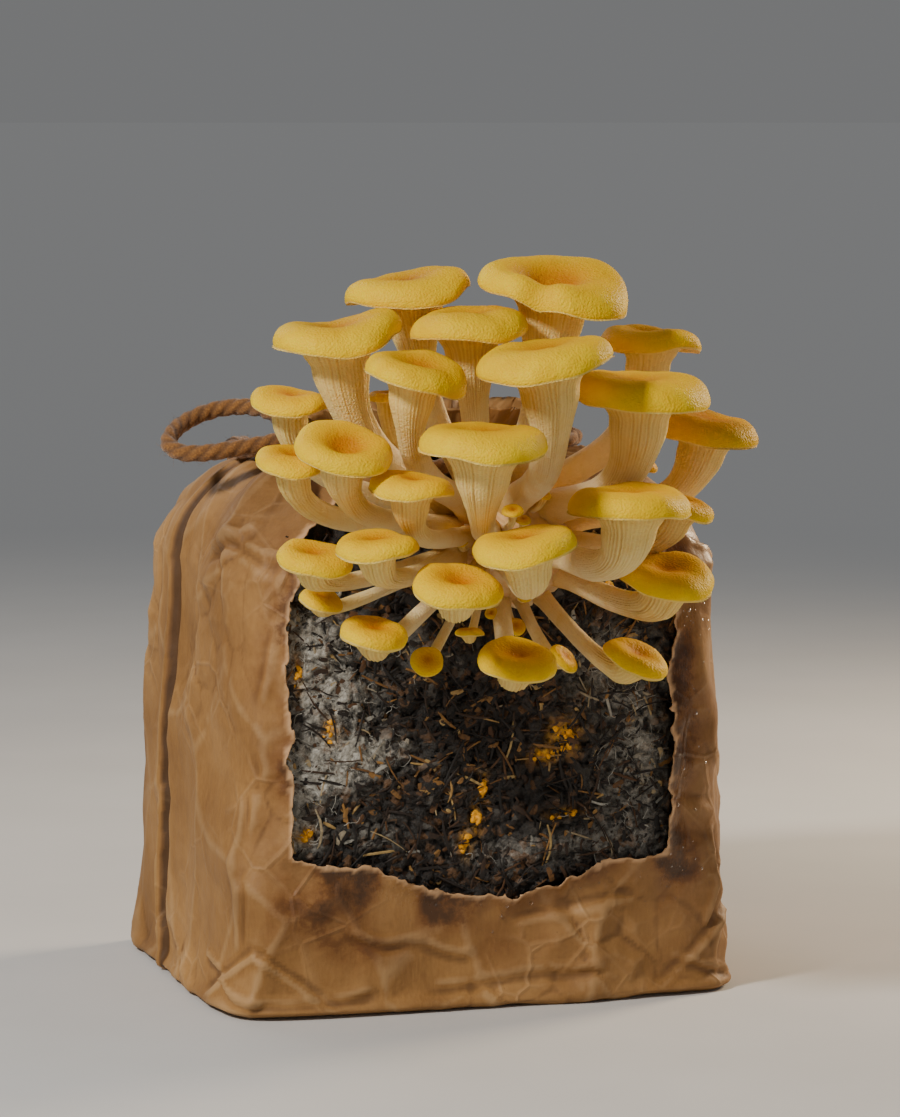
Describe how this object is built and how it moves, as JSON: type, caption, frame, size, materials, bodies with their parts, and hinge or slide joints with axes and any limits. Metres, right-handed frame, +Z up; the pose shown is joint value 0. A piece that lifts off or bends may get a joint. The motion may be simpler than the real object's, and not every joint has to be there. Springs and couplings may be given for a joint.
{
  "type": "oyster mushroom cluster on a grow bag",
  "caption": "Cluster of golden oyster mushrooms growing from the torn front of an upright kraft paper grow bag tied with jute twine.",
  "frame": {"origin": "middle of the bag's flat bottom, on the surface it stands on", "axes": "+Z up, -Y out of the torn front that the mushrooms grow from, +X to the right seen from the front"},
  "size_m": [0.1933, 0.269, 0.2595],
  "materials": {
    "kraft_paper": "matte",
    "substrate": "matte",
    "stem_flesh": "matte",
    "mushroom_flesh": "matte",
    "jute": "matte"
  },
  "bodies": {
    "root": {"paper_bag": "kraft_paper", "substrate_block": "substrate", "cluster_base": "stem_flesh", "mushroom_centre": "mushroom_flesh", "mushroom_tall_front": "mushroom_flesh", "mushroom_right_front": "mushroom_flesh", "mushroom_under_centre": "mushroom_flesh", "mushroom_round_front": "mushroom_flesh", "mushroom_right_dome": "mushroom_flesh", "mushroom_top_right": "mushroom_flesh", "mushroom_upper_middle": "mushroom_flesh", "mushroom_upper_left": "mushroom_flesh", "mushroom_inner_left": "mushroom_flesh", "mushroom_left_dimple": "mushroom_flesh", "mushroom_inner_low": "mushroom_flesh", "mushroom_left_middle": "mushroom_flesh", "mushroom_far_right": "mushroom_flesh", "mushroom_right_low": "mushroom_flesh", "mushroom_back_right": "mushroom_flesh", "mushroom_top_left": "mushroom_flesh", "mushroom_left_outer": "mushroom_flesh", "mushroom_left_back": "mushroom_flesh", "mushroom_behind_left": "mushroom_flesh", "mushroom_behind_right": "mushroom_flesh", "mushroom_left_low": "mushroom_flesh", "mushroom_left_under": "mushroom_flesh", "mushroom_bottom_left": "mushroom_flesh", "mushroom_bottom_middle": "mushroom_flesh", "mushroom_bottom_right": "mushroom_flesh", "mushroom_bottom_small": "mushroom_flesh", "mushroom_bottom_hidden": "mushroom_flesh", "mushroom_tiny": "mushroom_flesh", "twine_wrap": "jute", "twine_knot": "jute", "twine_loop_left": "jute", "twine_loop_right": "jute", "twine_tail_back": "jute", "twine_tail_front": "jute"}
  },
  "joints": []
}
